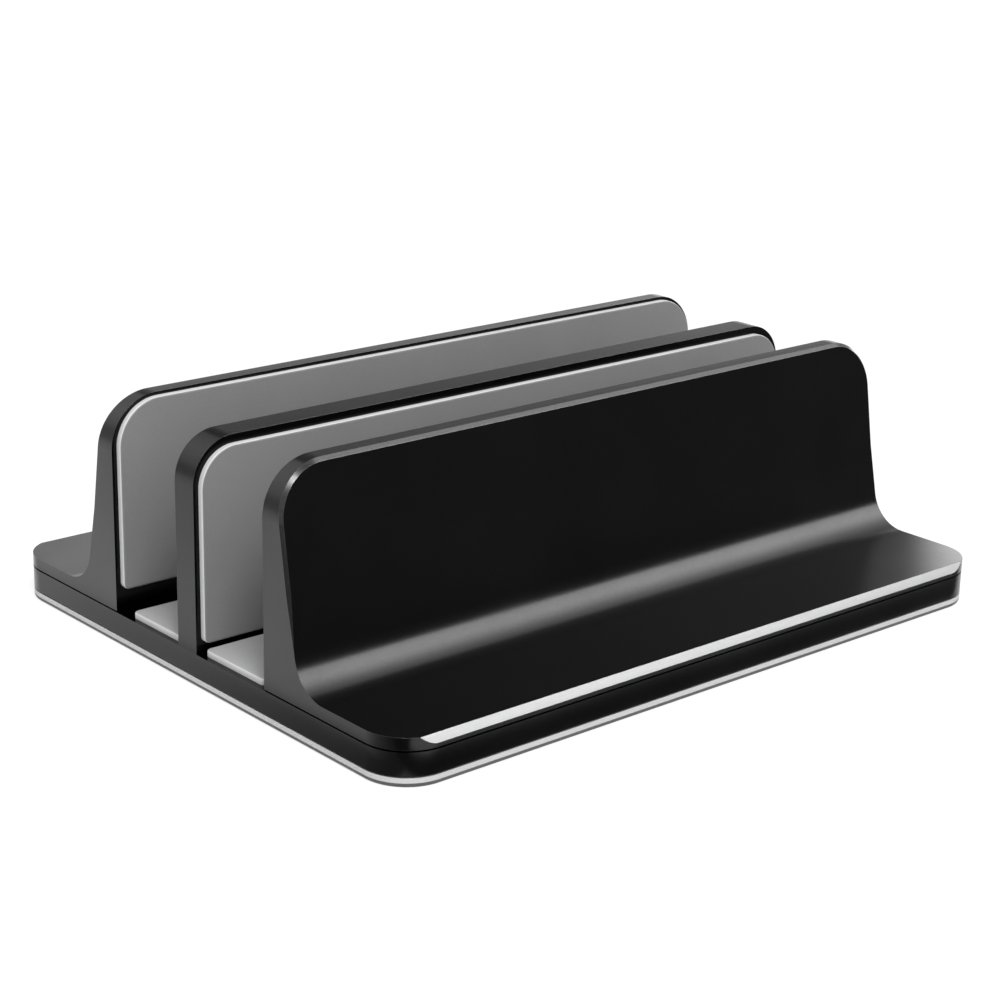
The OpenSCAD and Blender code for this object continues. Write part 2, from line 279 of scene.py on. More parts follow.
class Graph:
    """A shader node tree with short calls to add and join nodes."""

    def __init__(self, tree: bpy.types.NodeTree) -> None:
        """Wrap a node tree."""
        self.tree = tree
        self.column = 0

    def add(self, kind: str, **settings: object) -> bpy.types.Node:
        """Add a node of a kind and set its properties.

        Args:
            kind: Blender's name of the node type.
            settings: properties of the node.

        Returns:
            The new node.
        """
        node = self.tree.nodes.new(kind)
        node.location = (self.column * COLUMN, 0)
        self.column += 1
        for key, value in settings.items():
            setattr(node, key, value)
        return node

    def join(self, source: Socket, target: Socket) -> None:
        """Link one socket to another."""
        self.tree.links.new(source, target)

    def put(self, value: object, socket: Socket) -> None:
        """Link a value to a socket if it is a socket itself, or set it.

        Args:
            value: socket, number or colour.
            socket: the input that takes it.
        """
        if isinstance(value, Socket):
            self.join(value, socket)
        else:
            socket.default_value = value

    def feed(self, node: bpy.types.Node, **values: object) -> bpy.types.Node:
        """Set or link a node's inputs by name, with _ for a space.

        Args:
            node: node to feed.
            values: a socket to link, or a plain value to set, for each input.

        Returns:
            The same node.
        """
        for key, value in values.items():
            self.put(value, node.inputs[key.replace("_", " ")])
        return node

    def maths(self, operation: str, *values: object) -> Socket:
        """Add a Math node.

        Args:
            operation: name of the operation.
            values: sockets or numbers for its inputs.

        Returns:
            Its output socket.
        """
        node = self.add("ShaderNodeMath", operation=operation)
        for socket, value in zip(node.inputs, values):
            self.put(value, socket)
        return node.outputs[0]

    def ramp(
        self, value: Socket, low: object, high: object, to_low: object, to_high: object
    ) -> Socket:
        """Map a value from one range to another, held at both ends.

        Args:
            value: socket to map.
            low: start of the range it comes from.
            high: end of the range it comes from.
            to_low: what the start becomes.
            to_high: what the end becomes.

        Returns:
            The mapped value's socket.
        """
        node = self.add("ShaderNodeMapRange", clamp=True)
        names = ("Value", "From Min", "From Max", "To Min", "To Max")
        for name, part in zip(names, (value, low, high, to_low, to_high)):
            self.put(part, node.inputs[name])
        return node.outputs["Result"]

    def mix(self, amount: object, one: object, other: object) -> Socket:
        """Mix two colours by an amount from 0 to 1, each of them a socket or a value."""
        return self._between(MIX_COLOURS, amount, one, other)

    def surface(self, shader: Socket, kind: str = "ShaderNodeOutputMaterial") -> None:
        """Make a shader the surface of the material, or of the world by its output's kind."""
        self.join(shader, self.add(kind).inputs["Surface"])

    def split(self, vector: Socket) -> bpy.types.NodeOutputs:
        """Split a vector and give its X, Y and Z sockets by name."""
        return self.feed(self.add("ShaderNodeSeparateXYZ"), Vector=vector).outputs

    def close_to(self, value: Socket, target: float, slack: float) -> Socket:
        """Add a value that is 1 where another lies within a slack of a target, and 0 elsewhere."""
        off = self.maths("ABSOLUTE", self.maths("SUBTRACT", value, target))
        return self.maths("LESS_THAN", off, slack)

    def even_noise(self, vector: Socket, size: object, detail: float = 2.0) -> Socket:
        """Add noise as noise() does, but stretched to run from 0 to 1."""
        return self.ramp(self.noise(vector, size, detail), *NOISE_RANGE, 0.0, 1.0)

    def blend(self, amount: object, one: object, other: object) -> Socket:
        """Mix two numbers by an amount from 0 to 1, each of them a socket or a value."""
        return self._between(MIX_VALUES, amount, one, other)

    def _between(self, kind: tuple[str, int, int, int], *parts: object) -> Socket:
        """Add a Mix node.

        Args:
            kind: what it mixes, and the numbers of its two inputs and its output.
            parts: the amount and the two values.

        Returns:
            Its output socket.
        """
        data, first, second, result = kind
        node = self.add("ShaderNodeMix", data_type=data)
        for number, part in zip((0, first, second), parts):
            self.put(part, node.inputs[number])
        return node.outputs[result]

    def noise(self, vector: Socket, size: object, detail: float = 2.0) -> Socket:
        """Add noise whose grains are a given size in metres.

        Args:
            vector: place to read.
            size: grain size in metres, as a socket or number.
            detail: how many finer layers it has.

        Returns:
            The noise value's socket.
        """
        scale = self.maths("DIVIDE", 1.0, size)
        node = self.add("ShaderNodeTexNoise")
        self.feed(node, Vector=vector, Scale=scale, Detail=detail)
        return node.outputs["Fac"]


def empty_graph(owner: bpy.types.Material | bpy.types.World) -> Graph:
    """Give a material or a world an empty node tree.

    Args:
        owner: the material or world.

    Returns:
        The tree's graph.
    """
    owner.use_nodes = True
    owner.node_tree.nodes.clear()
    return Graph(owner.node_tree)


def new_group(
    name: str, result: str, **usual: float | Rgba
) -> tuple[Graph, bpy.types.NodeOutputs, Socket]:
    """Start a shader node group that reads a place and gives one value or colour.

    Args:
        name: name of the group.
        result: name of what it gives.
        usual: usual value of each further input, with _ for a space.

    Returns:
        The group's graph, its inputs by name and the socket that takes its result.
    """
    tree = bpy.data.node_groups.new(name, "ShaderNodeTree")
    add = tree.interface.new_socket
    add(name="Vector", in_out="INPUT", socket_type="NodeSocketVector")
    for key, value in usual.items():
        kind = "NodeSocketColor" if isinstance(value, tuple) else "NodeSocketFloat"
        socket = add(name=key.replace("_", " "), in_out="INPUT", socket_type=kind)
        socket.default_value = value
    kind = "NodeSocketColor" if result == "Color" else "NodeSocketFloat"
    add(name=result, in_out="OUTPUT", socket_type=kind)
    graph = Graph(tree)
    start = graph.add("NodeGroupInput")
    return graph, start.outputs, graph.add("NodeGroupOutput").inputs[result]


@dataclass(frozen=True)
class Effects:
    """Surface effects that several finishes share, each a node group."""

    grain: bpy.types.NodeTree
    tone: bpy.types.NodeTree
    touch: bpy.types.NodeTree

    @classmethod
    def build(cls) -> "Effects":
        """Build each group once."""
        return cls(cls._grain(), cls._tone(), cls._touch())

    @staticmethod
    def _grain() -> bpy.types.NodeTree:
        """Build the fine grain of a blasted, cast or moulded surface.

        Returns:
            The group, which gives a height.
        """
        graph, given, end = new_group("Fine grain", "Height", Size=0.4 * MM, Softness=0.25)
        fine = graph.noise(given["Vector"], given["Size"], detail=3.0)
        wide = graph.noise(given["Vector"], graph.maths("MULTIPLY", given["Size"], WIDE_GRAIN))
        graph.join(graph.blend(given["Softness"], fine, wide), end)
        return graph.tree

    @staticmethod
    def _tone() -> bpy.types.NodeTree:
        """Build the slow change of colour over a surface, with fine speckle on top.

        Returns:
            The group, which gives a colour.
        """
        graph, given, end = new_group(
            "Uneven tone",
            "Color",
            Darker=plain(0.0),
            Lighter=plain(1.0),
            Patch_size=30.0 * MM,
            Speckle_size=0.5 * MM,
            Speckle=0.4,
        )
        patch = graph.even_noise(given["Vector"], given["Patch size"], detail=3.0)
        speck = graph.even_noise(given["Vector"], given["Speckle size"], detail=1.0)
        both = graph.blend(given["Speckle"], patch, speck)
        graph.join(graph.mix(both, given["Darker"], given["Lighter"]), end)
        return graph.tree

    @staticmethod
    def _touch() -> bpy.types.NodeTree:
        """Build the faint smudges that hands leave.

        Returns:
            The group, which gives a roughness.
        """
        graph, given, end = new_group(
            "Handling smudges",
            "Roughness",
            Size=20.0 * MM,
            Smooth=0.3,
            Rough=0.4,
            Fine_part=0.25,
        )
        broad = graph.noise(given["Vector"], given["Size"], detail=4.0)
        fine = graph.noise(given["Vector"], graph.maths("MULTIPLY", given["Size"], FINE_SMUDGE))
        both = graph.blend(given["Fine part"], broad, fine)
        roughness = graph.ramp(both, *SMUDGE_RANGE, given["Smooth"], given["Rough"])
        graph.join(roughness, end)
        return graph.tree


# Finishes


class Finish:
    """A material under construction, read from Object coordinates all through."""

    def __init__(self, look: "Look", effects: Effects) -> None:
        """Start a material with its shader, its place input and the shared effects.

        Args:
            look: what the surface is like.
            effects: the shared node groups.
        """
        self.material = bpy.data.materials.new(look.name)
        self.graph = empty_graph(self.material)
        self.place = self.graph.add("ShaderNodeTexCoord").outputs["Object"]
        self.shader = self.graph.add("ShaderNodeBsdfPrincipled")
        self.graph.surface(self.shader.outputs["BSDF"])
        self.tone = self._effect(
            effects.tone,
            Darker=look.darker,
            Lighter=look.lighter,
            Patch_size=look.patch,
            Speckle_size=look.speckle,
        )
        self.rough = self._effect(
            effects.touch, Size=look.smudge, Smooth=look.smooth, Rough=look.rough
        )
        self.height = self._effect(effects.grain, Size=look.grain)

    def _effect(self, tree: bpy.types.NodeTree, **values: object) -> Socket:
        """Place a shared effect, with its own values, and return what it gives."""
        node = self.graph.add("ShaderNodeGroup", node_tree=tree)
        return self.graph.feed(node, Vector=self.place, **values).outputs[0]

    def bump(self, height: Socket, depth: float) -> Socket:
        """Turn a height from 0 to 1 into a normal.

        Args:
            height: socket with the height.
            depth: how deep the pattern is, in metres.

        Returns:
            The normal's socket.
        """
        node = self.graph.add("ShaderNodeBump")
        self.graph.feed(node, Height=height, Distance=depth)
        return node.outputs["Normal"]


@dataclass(frozen=True)
class Look:
    """What a surface is like: an uneven tone, handling smudges and a fine grain."""

    name: str
    darker: Rgba
    lighter: Rgba
    smooth: float
    rough: float
    patch: float
    speckle: float
    smudge: float
    grain: float
    depth: float

    def material(self, effects: Effects) -> bpy.types.Material:
        """Build the material.

        Args:
            effects: the shared node groups.

        Returns:
            The finished material.
        """
        finish = Finish(self, effects)
        self.shade(finish)
        return finish.material

    def shade(self, finish: Finish) -> None:
        """Feed the shader as a plain metal's.

        Args:
            finish: the material under construction.
        """
        normal = finish.bump(finish.height, self.depth)
        finish.graph.feed(finish.shader, Base_Color=finish.tone, Roughness=finish.rough)
        finish.graph.feed(finish.shader, Metallic=1.0, Normal=normal)


@dataclass(frozen=True)
class ToeHighlight:
    """The bevel along a bracket's toe, painted bright as a painted highlight."""

    toe: float
    foot_top: float = 10.7 * MM
    inward: float = 0.9 * MM
    down: float = 1.8 * MM
    slack: float = 0.04 * MM
    streak_size: float = 0.12 * MM
    stretch: float = 0.02
    # Painted highlight: the toe bevel's bright colour stands in for its reflection.
    darker: Rgba = grey(0.40)
    lighter: Rgba = grey(0.46)
    roughness: float = 0.28

    def mask(self, finish: Finish) -> Socket:
        """Add a value that is 1 on the bevel and 0 elsewhere.

        Args:
            finish: the material under construction.

        Returns:
            The value's socket.
        """
        graph = finish.graph
        place = graph.split(finish.place)
        slope = self.inward / self.down
        level = self.toe - self.inward + slope * self.foot_top
        out = graph.maths("ABSOLUTE", place["Y"])
        sloped = graph.maths("ADD", out, graph.maths("MULTIPLY", place["Z"], slope))
        high = graph.maths("GREATER_THAN", place["Z"], self.foot_top - self.down - self.slack / 2)
        return graph.maths("MULTIPLY", graph.close_to(sloped, level, self.slack), high)

    def colour(self, finish: Finish) -> Socket:
        """Add the painted highlight's colour, with fine streaks along it.

        Args:
            finish: the material under construction.

        Returns:
            The colour's socket.
        """
        graph = finish.graph
        lines = graph.add("ShaderNodeMapping")
        graph.join(finish.place, lines.inputs["Vector"])
        lines.inputs["Scale"].default_value = (self.stretch, 1.0, 1.0)
        streaks = graph.even_noise(lines.outputs["Vector"], self.streak_size)
        return graph.mix(streaks, self.darker, self.lighter)


@dataclass(frozen=True)
class RimChamferHighlight:
    """The chamfer round a bracket's outer face, painted lighter than its faces: a painted
    highlight.
    """

    above: float = 21.0 * MM
    turn: float = 0.67
    slack: float = 0.10
    # Painted highlight: the chamfer's lighter colour stands in for the light line its reflection
    # gives.
    darker: Rgba = grey(0.042)
    lighter: Rgba = grey(0.054)
    speckle: float = 0.6 * MM

    def mask(self, finish: Finish) -> Socket:
        """Add a value that is 1 on the chamfer, told by its height and how its faces turn.

        Args:
            finish: the material under construction.

        Returns:
            The value's socket.
        """
        graph = finish.graph
        normal = graph.split(graph.add("ShaderNodeNewGeometry").outputs["True Normal"])
        turned = graph.close_to(graph.maths("ABSOLUTE", normal["Y"]), self.turn, self.slack)
        high = graph.maths("GREATER_THAN", graph.split(finish.place)["Z"], self.above)
        return graph.maths("MULTIPLY", turned, high)

    def colour(self, finish: Finish) -> Socket:
        """Add the chamfer's painted highlight colour and return its socket."""
        speck = finish.graph.even_noise(finish.place, self.speckle)
        return finish.graph.mix(speck, self.darker, self.lighter)


@dataclass(frozen=True)
class AnodisedAluminium(Look):
    """Black anodised aluminium with a fine blasted grain."""

    darker: Rgba = grey(0.0205)
    lighter: Rgba = grey(0.0265)
    smooth: float = 0.20
    rough: float = 0.25
    patch: float = 35.0 * MM
    speckle: float = 0.6 * MM
    smudge: float = 22.0 * MM
    grain: float = 0.28 * MM
    depth: float = 0.0025 * MM
    # Below 1 this dims reflections at grazing angles, painted shade used on the centre wall.
    grazing: float = 1.0
    toe: ToeHighlight | None = None
    rim: RimChamferHighlight | None = None

    def shade(self, finish: Finish) -> None:
        """Feed the shader, with the painted highlights on the rim chamfer and the toe where the
        part has them.

        Args:
            finish: the material under construction.
        """
        graph = finish.graph
        # The rim chamfer gets a painted highlight.
        if self.rim is not None:
            finish.tone = graph.mix(self.rim.mask(finish), finish.tone, self.rim.colour(finish))
        # The toe bevel gets a painted highlight: a bright colour and a smoother skin.
        if self.toe is not None:
            mask = self.toe.mask(finish)
            finish.tone = graph.mix(mask, finish.tone, self.toe.colour(finish))
            finish.rough = graph.ramp(mask, 0.0, 1.0, finish.rough, self.toe.roughness)
            kept = graph.maths("SUBTRACT", 1.0, mask)
            finish.height = graph.maths("MULTIPLY", finish.height, kept)
        super().shade(finish)
        # Grazing reflections, dimmed on the centre wall as painted shade.
        graph.feed(finish.shader, Specular_Tint=plain(self.grazing))


@dataclass(frozen=True)
class MatPattern:
    """What the under mat has beyond plain silicone: painted shade, as a grey band in its lowest
    millimetre, and grip dots below.
    """

    shade_low: float = 0.98 * MM
    shade_high: float = 1.12 * MM
    # Painted shade: the grey of the band in the mat's lowest millimetre.
    darker: Rgba = grey(0.080)
    lighter: Rgba = grey(0.100)
    speckle: float = 0.6 * MM
    pitch: float = 3.0 * MM
    dot_inner: float = 0.22
    dot_outer: float = 0.30
    dot_height: float = 0.25 * MM
    under: float = 0.1 * MM

    def with_painted_shade(self, finish: Finish) -> Socket:
        """Paint shade in the mat's lowest millimetre, as a grey band under the pale colour.

        Args:
            finish: the material under construction.

        Returns:
            The colour with the painted shade in it.
        """
        graph = finish.graph
        height = graph.split(finish.place)["Z"]
        unshaded = graph.ramp(height, self.shade_low, self.shade_high, 0.0, 1.0)
        speck = graph.even_noise(finish.place, self.speckle)
        return graph.mix(unshaded, graph.mix(speck, self.darker, self.lighter), finish.tone)

    def dots(self, finish: Finish, normal: Socket) -> Socket:
        """Add the grip dots of the mat's underside.

        Args:
            finish: the material under construction.
            normal: normal of the plain skin.

        Returns:
            The normal with the dots in it.
        """
        graph = finish.graph
        place = graph.split(finish.place)
        across = []
        for axis in ("X", "Y"):
            shifted = graph.maths("ADD", place[axis], 1.0)
            cell = graph.maths("FRACT", graph.maths("DIVIDE", shifted, self.pitch))
            across.append(graph.maths("POWER", graph.maths("SUBTRACT", cell, 0.5), 2.0))
        radius = graph.maths("SQRT", graph.maths("ADD", across[0], across[1]))
        dot = graph.ramp(radius, self.dot_inner, self.dot_outer, 1.0, 0.0)
        below = graph.maths("LESS_THAN", place["Z"], self.under)
        height = graph.maths("MULTIPLY", dot, below)
        bump = graph.add("ShaderNodeBump")
        graph.feed(bump, Height=height, Distance=self.dot_height, Normal=normal)
        return bump.outputs["Normal"]


@dataclass(frozen=True)
class Silicone(Look):
    """Moulded silicone with a fine matt skin."""

    patch: float = 20.0 * MM
    speckle: float = 0.5 * MM
    smudge: float = 15.0 * MM
    grain: float = 0.4 * MM
    depth: float = 0.02 * MM
    shine: float = 0.35
    sheen: float = 0.08
    sheen_roughness: float = 0.5
    pattern: MatPattern | None = None

    def shade(self, finish: Finish) -> None:
        """Feed the shader, with the mat's painted shade and dots where the part has them.

        Args:
            finish: the material under construction.
        """
        normal = finish.bump(finish.height, self.depth)
        if self.pattern is not None:
            normal = self.pattern.dots(finish, normal)
            # Painted shade in the mat's lowest millimetre.
            finish.tone = self.pattern.with_painted_shade(finish)
        finish.graph.feed(
            finish.shader,
            Base_Color=finish.tone,
            Roughness=finish.rough,
            Normal=normal,
            Metallic=0.0,
            Specular_IOR_Level=self.shine,
            Sheen_Weight=self.sheen,
            Sheen_Roughness=self.sheen_roughness,
        )


@dataclass(frozen=True)
class Steel(Look):
    """Screw or washer steel, turned or rolled."""

    patch: float = 4.0 * MM
    speckle: float = 0.3 * MM
    smudge: float = 3.0 * MM
    grain: float = 0.15 * MM
    depth: float = 0.005 * MM


class Finishes:
    """Every finish of the stand, built once."""

    def __init__(self) -> None:
        """Build the shared effects and the materials."""
        effects = Effects.build()
        toe = ToeHighlight(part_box("rear_bracket")[1].y)
        metals = {
            "plate": AnodisedAluminium("Black anodised plate"),
            # The brackets' rim chamfers and toe bevels carry painted highlights.
            "bracket": AnodisedAluminium("Black anodised extrusion", toe=toe, rim=RimChamferHighlight()),
            # Painted shade: the centre wall's copy of the finish dims its grazing reflections, to
            # darken its top.
            "wall": AnodisedAluminium("Black anodised wall", grazing=0.82),
            # Painted highlight: the broken edges of the brackets and the centre wall, painted
            # lighter than the faces.
            "edge": AnodisedAluminium(
                "Polished anodised edge", grey(0.085), grey(0.110), smooth=0.22, rough=0.28
            ),
            "screw": Steel("Black oxide steel", grey(0.030), grey(0.056), 0.30, 0.42),
            "washer": Steel("Plain steel", grey(0.46), grey(0.58), 0.24, 0.36),
        }
        soft = {
            "pad": Silicone("Grey silicone pad", grey(0.192), grey(0.216), 0.62, 0.75),
            # Painted light: the floor pads are the wall pads' silicone painted lighter, to look lit
            # down in the slots.
            "floor_pad": Silicone("Grey silicone floor pad", grey(0.37), grey(0.41), 0.62, 0.75),
            # Painted highlight: the pads' rims are painted pale, as light on them would make them.
            "pad_edge": Silicone("Pale cut edge of a pad", grey(0.60), grey(0.67), 0.50, 0.62),
            "mat": Silicone(
                # The mat's pattern paints shade in its lowest millimetre.
                "Pale silicone mat", grey(0.60), grey(0.67), 0.50, 0.65, pattern=MatPattern()
            ),
        }
        self._materials = {
            name: look.material(effects) for name, look in {**metals, **soft}.items()
        }

    def __getitem__(self, name: str) -> bpy.types.Material:
        """Give the material of one named finish."""
        return self._materials[name]


# Soft parts


def flat_or_highlit_rim(axis: int, finish: str, finishes: Finishes) -> FacePaint:
    """Paint a pad's faces along an axis in a finish of that name, and its rims pale as a painted
    highlight.
    """
    materials = (finishes[finish], finishes["pad_edge"])
    return materials, lambda face: int(abs(face.normal[axis]) <= FLAT_FACE)


@dataclass
class WallPad:
    """A soft pad stuck on one face of an upright wall."""

    name: str
    node: str
    body: Body
    facing: Side
    top_r: float
    foot_r: float = 1.5 * MM
    rim_r: float = 0.5 * MM
    top_facets: int = 20
    foot_facets: int = 8
    rim_facets: int = 4

    def build(self, finishes: Finishes) -> bpy.types.Object:
        """Model and dress the pad.

        Args:
            finishes: the stand's finishes.

        Returns:
            The finished piece.
        """
        low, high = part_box(self.node)
        pad = block(self.name, low, high)
        for x in (low.x, high.x):
            bevel_edges(pad, along(1, (0, x), (2, high.z)), self.top_r, self.top_facets)
            bevel_edges(pad, along(1, (0, x), (2, low.z)), self.foot_r, self.foot_facets)
        face_y = high.y if self.facing is Side.REAR else low.y
        bevel_edges(pad, within(1, face_y), self.rim_r, self.rim_facets)
        smooth(pad)
        # The pad's rims carry a painted highlight.
        paint_faces(pad, *flat_or_highlit_rim(1, "pad", finishes))
        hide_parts(self.node)
        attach(pad, self.body.value)
        return pad


@dataclass
class FloorPad:
    """A soft pad stuck on the floor of a slot."""

    name: str
    node: str
    corner_r: float = 1.2 * MM
    rim_r: float = 0.5 * MM
    corner_facets: int = 8
    rim_facets: int = 4

    def build(self, finishes: Finishes) -> bpy.types.Object:
        """Model and dress the pad.

        Args:
            finishes: the stand's finishes.

        Returns:
            The finished piece.
        """
        low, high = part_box(self.node)
        pad = block(self.name, low, high)
        round_corners(pad, low, high, self.corner_r, self.corner_facets)
        bevel_edges(pad, within(2, high.z), self.rim_r, self.rim_facets)
        smooth(pad)
        # The floor pads take the painted-light copy of the silicone, with painted highlights on
        # their rims.
        paint_faces(pad, *flat_or_highlit_rim(2, "floor_pad", finishes))
        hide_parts(self.node)
        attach(pad, Body.BASE.value)
        return pad


@dataclass
class UnderMat:
    """The non-slip mat under the base, with a window round each clamp screw's travel."""

    name: str = "UnderMat"
    node: str = "base_mat"
    corner_r: float = 10.5 * MM
    corner_facets: int = 24
    rim_r: float = 0.8 * MM
    rim_facets: int = 5
    window_w: float = 12.2 * MM
    window_facets: int = 48
    window_depth: float = 3.0
    slide_in: float = 1.8 * MM
    slide_out: float = 10.0 * MM

    def build(self, finishes: Finishes) -> bpy.types.Object:
        """Model and dress the mat.

        Args:
            finishes: the stand's finishes.

        Returns:
            The finished piece.
        """
        low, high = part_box(self.node)
        mat = block(self.name, low, high)
        round_corners(mat, low, high, self.corner_r, self.corner_facets)
        bevel_edges(mat, within(2, low.z), self.rim_r, self.rim_facets)
        for end in ("left", "right"):
            for side in Side:
                self._cut_window(mat, f"{side.name.lower()}_clamp_screw_{end}", side)
        smooth(mat)
        paint_faces(mat, (finishes["mat"],), lambda face: 0)
        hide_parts(self.node)
        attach(mat, Body.BASE.value)
        return mat

    def _cut_window(self, mat: bpy.types.Object, screw: str, side: Side) -> None:
        """Cut one long window through the mat, as long as a clamp screw's travel.

        Args:
            mat: the mat's object.
            screw: node name of the clamp screw.
            side: side of the centre wall that the screw is on.
        """
        deselect()
        low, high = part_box(screw)
        middle = (low + high) / 2
        near = middle.y - side.value * self.slide_in
        stretch = side.value * (self.slide_in + self.slide_out)
        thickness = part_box(self.node)[1].z
        bpy.ops.mesh.primitive_cylinder_add(
            vertices=self.window_facets,
            radius=self.window_w / 2,
            depth=thickness * self.window_depth,
            location=(middle.x, near, thickness / 2),
            rotation=(0, 0, math.pi / self.window_facets),
        )
        cutter = bpy.context.object
        bpy.ops.object.transform_apply(location=True, rotation=True, scale=True)
        bpy.ops.object.mode_set(mode="EDIT")
        mesh = bmesh.from_edit_mesh(cutter.data)
        for vert in mesh.verts:
            vert.select_set((vert.co.y - near) * side.value > 0)
        bmesh.update_edit_mesh(cutter.data)
        bpy.ops.transform.translate(value=(0, stretch, 0))
        bpy.ops.object.mode_set(mode="OBJECT")
        activate(mat)
        cut = mat.modifiers.new("Window", "BOOLEAN")
        cut.operation = "DIFFERENCE"
        cut.solver = "EXACT"
        cut.object = cutter
        bpy.ops.object.modifier_apply(modifier=cut.name)
        bpy.data.objects.remove(cutter, do_unlink=True)


# Metal parts


@dataclass
class MetalParts:
    """The metal parts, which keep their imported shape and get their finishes."""

    edge_width: float = 0.20 * MM
    edge_segments: int = 2
    arc_angle: float = 25.0
    edge_angle: float = 30.0

    def dress(self, nodes: dict[str, bpy.types.Object], finishes: Finishes) -> None:
        """Give every metal node its finish and its broken edges.

        Args:
            nodes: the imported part's objects by name.
            finishes: the stand's finishes.
        """
        for name, node in nodes.items():
            finish = self._finish_of(name)
            if finish is None:
                continue
            for slot in node.material_slots:
                slot.material = finishes[finish]
            self._clean(node)
            # The broken edges take the painted highlight finish.
            if finish in ("bracket", "wall"):
                self._break_edges(node, finishes["edge"])
            LOG.info("%s dressed in %s", name, finishes[finish].name)

    def _finish_of(self, name: str) -> str | None:
        """Name of a metal node's finish, or nothing for a soft one."""
        kinds = () if "pad" in name else ("plate", "wall", "bracket", "screw", "washer")
        return next((kind for kind in kinds if kind in name), None)

    def _smooth_arcs(self) -> bpy.types.NodeTree:
        """Build, once, the modifier that shades arcs smooth and keeps sharp edges sharp.

        Returns:
            The modifier's node tree.
        """
        name = "Smooth arcs"
        if name in bpy.data.node_groups:
            return bpy.data.node_groups[name]
        tree = bpy.data.node_groups.new(name, "GeometryNodeTree")
        for way in ("INPUT", "OUTPUT"):
            tree.interface.new_socket(
                name="Geometry", in_out=way, socket_type="NodeSocketGeometry"
            )
        graph = Graph(tree)
        start = graph.add("NodeGroupInput")
        end = graph.add("NodeGroupOutput")
        shading = graph.add("GeometryNodeSetMeshNormal", mode="SHARPNESS")
        shading.inputs["Remove Custom"].default_value = True
        angle = graph.add("GeometryNodeInputMeshEdgeAngle").outputs["Unsigned Angle"]
        sharp = graph.maths("GREATER_THAN", angle, math.radians(self.arc_angle))
        graph.join(start.outputs[0], shading.inputs["Mesh"])
        graph.join(sharp, shading.inputs["Edge Sharpness"])
        graph.join(shading.outputs[0], end.inputs[0])
        return tree

    def _clean(self, node: bpy.types.Object) -> None:
        """Join a metal node's doubled points and shade its arcs smooth, both live.

        Args:
            node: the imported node's object.
        """
        weld = node.modifiers.new("Weld", "WELD")
        weld.merge_threshold = NEAR
        arcs = node.modifiers.new("Smooth arcs", "NODES")
        arcs.node_group = self._smooth_arcs()

    def _break_edges(self, node: bpy.types.Object, edge: bpy.types.Material) -> None:
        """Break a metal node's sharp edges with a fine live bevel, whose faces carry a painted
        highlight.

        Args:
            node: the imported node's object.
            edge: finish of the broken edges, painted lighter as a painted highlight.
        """
        node.data.materials.append(edge)
        bevel = node.modifiers.new("Broken edges", "BEVEL")
        bevel.width = self.edge_width
        bevel.segments = self.edge_segments
        bevel.limit_method = "ANGLE"
        bevel.angle_limit = math.radians(self.edge_angle)
        bevel.material = len(node.data.materials) - 1
        bevel.harden_normals = True


# Stage


@dataclass(frozen=True)
class View:
    """The photograph's viewpoint: where its camera stands and what it looks at."""

    place: Point = (-341.771 * MM, -389.077 * MM, 194.125 * MM)
    target: Point = (-0.964 * MM, 0.0, 23.947 * MM)
    roll: float = 0.02236
    sensor: float = 36.0
    lens: float = 83.098
    near: float = 0.01
    far: float = 20.0

    def mirrored(self, spot: Point, normal: Point, reach: float) -> Vector:
        """Find what the camera sees reflected at a spot on a polished face.

        Args:
            spot: the spot, in metres.
            normal: which way the face looks there.
            reach: how far from the spot the mirrored ray is followed.

        Returns:
            The point on the mirrored ray.
        """
        towards = (Vector(self.place) - Vector(spot)).normalized()
        outward = Vector(normal).normalized()
        ray = 2 * towards.dot(outward) * outward - towards
        return Vector(spot) + ray * reach

    def camera(self) -> bpy.types.Object:
        """Add the camera at the viewpoint.

        Returns:
            The camera's object.
        """
        place = Vector(self.place)
        ahead = (Vector(self.target) - place).normalized()
        level = ahead.cross(Vector((0, 0, 1))).normalized()
        upright = level.cross(ahead)
        right = level * math.cos(self.roll) + upright * math.sin(self.roll)
        up = upright * math.cos(self.roll) - level * math.sin(self.roll)
        data = bpy.data.cameras.new("Photograph's view")
        data.sensor_width = self.sensor
        data.lens = self.lens
        data.clip_start = self.near
        data.clip_end = self.far
        camera = bpy.data.objects.new("Photograph's view", data)
        bpy.context.scene.collection.objects.link(camera)
        turn = Matrix((right, up, -ahead)).transposed().to_4x4()
        camera.matrix_world = Matrix.Translation(place) @ turn
        return camera


@dataclass
class Softbox:
    """The rectangular lamp that looks at the stand from above the front left."""

    name: str = "Key softbox"
    direction: Point = (-0.30, -0.50, 0.80)
    distance: float = 1.2
    size: float = 0.40
    radiance: float = 22.0
    middle: Point = (0.0, 0.0, 25.0 * MM)

    def build(self) -> bpy.types.Object:
        """Add the lamp, aimed at the middle of the stand.

        Returns:
            The lamp's object.
        """
        lamp = bpy.data.lights.new(self.name, "AREA")
        lamp.shape = "RECTANGLE"
        lamp.size = self.size
        lamp.size_y = self.size
        lamp.energy = self.radiance * math.pi * self.size**2
        holder = bpy.data.objects.new(self.name, lamp)
        bpy.context.scene.collection.objects.link(holder)
        towards = Vector(self.direction).normalized()
        holder.location = Vector(self.middle) + towards * self.distance
        holder.rotation_euler = towards.to_track_quat("Z", "Y").to_euler()
        holder.visible_camera = False
        return holder


